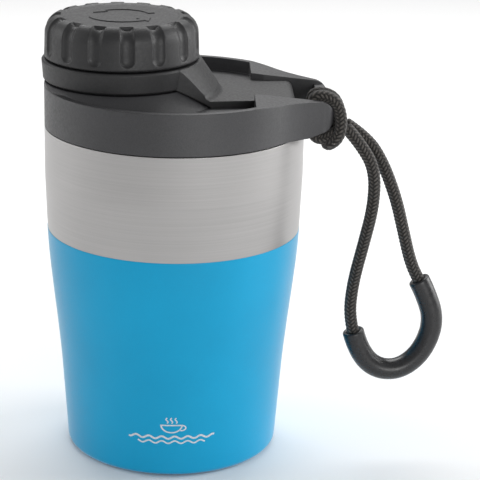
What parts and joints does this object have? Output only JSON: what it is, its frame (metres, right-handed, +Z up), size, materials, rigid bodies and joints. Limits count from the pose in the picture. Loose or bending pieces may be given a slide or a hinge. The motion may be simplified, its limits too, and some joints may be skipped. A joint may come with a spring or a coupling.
{
  "type": "insulated tumbler",
  "caption": "Double-walled steel drinking tumbler with screw lid, fluted screw cap on a hinged tether, and a braided cord carry loop with a moulded grip.",
  "frame": {"origin": "centre of the base pad on the standing surface, on the cup's axis", "axes": "+Z up the cup's axis, +X from the axis towards the nose of the lid where the cord is tied, +Y completes a right-handed frame"},
  "size_m": [0.1271, 0.0806, 0.1392],
  "materials": {
    "steel": "fine circumferential brushing",
    "coat": "satin powder coat, mid blue",
    "solder": "dull cast bead",
    "getter": "sintered pellet",
    "silicone": "matt black silicone",
    "lid_plastic": "fine moulded grain, charcoal black",
    "tether_plastic": "fine moulded grain, charcoal black",
    "cap_plastic": "fine moulded grain, charcoal black",
    "inner_plastic": "smooth moulded, charcoal black",
    "foam": "closed-cell foam",
    "cord": "herringbone braided polyester cord, 4 mm",
    "grip_plastic": "semi-gloss flexible vinyl tube"
  },
  "bodies": {
    "cup": {"outer_shell": "steel", "powder_coat": "coat", "inner_liner": "steel", "base_disc": "steel", "vacuum_seal": "solder", "getter": "getter", "base_pad": "silicone"},
    "seal": {"lid_seal": "silicone"},
    "lid": {"lid_shell": "lid_plastic", "lid_skirt": "inner_plastic", "lid_insulation": "foam", "spout": "inner_plastic", "hinge_pin": "steel", "cord_hitch": "cord"},
    "tether": {"tether": "tether_plastic"},
    "cap": {"cap_shell": "cap_plastic", "cap_liner": "inner_plastic", "cap_seal": "silicone"},
    "carry_loop": {"cord_loop": "cord", "grip": "grip_plastic"}
  },
  "joints": [
    {"name": "lid_lift", "type": "slide", "parent": "cup", "child": "seal", "axis": [0, 0, 1], "range_m": [0, 0.009]},
    {"name": "lid_turn", "type": "hinge", "parent": "seal", "child": "lid", "pos_m": [0, 0, 0.1], "axis": [0, 0, 1], "range_deg": [0, 540]},
    {"name": "tether_flip", "type": "hinge", "parent": "lid", "child": "tether", "pos_m": [0.0348, 0, 0.1139], "axis": [0, 1, 0], "range_deg": [0, 110]},
    {"name": "cap_turn", "type": "hinge", "parent": "tether", "child": "cap", "pos_m": [-0.01644, 0, 0.13], "axis": [0, 0, 1], "range_deg": [0, 450]},
    {"name": "strap_swing", "type": "hinge", "parent": "lid", "child": "carry_loop", "pos_m": [0.0526, -0.009, 0.1076], "axis": [0, -1, 0], "range_deg": [-10, 65]}
  ],
  "couplings": [
    {"joint": "lid_lift", "follows": "lid_turn", "m_per_rad": 0.00095493}
  ]
}
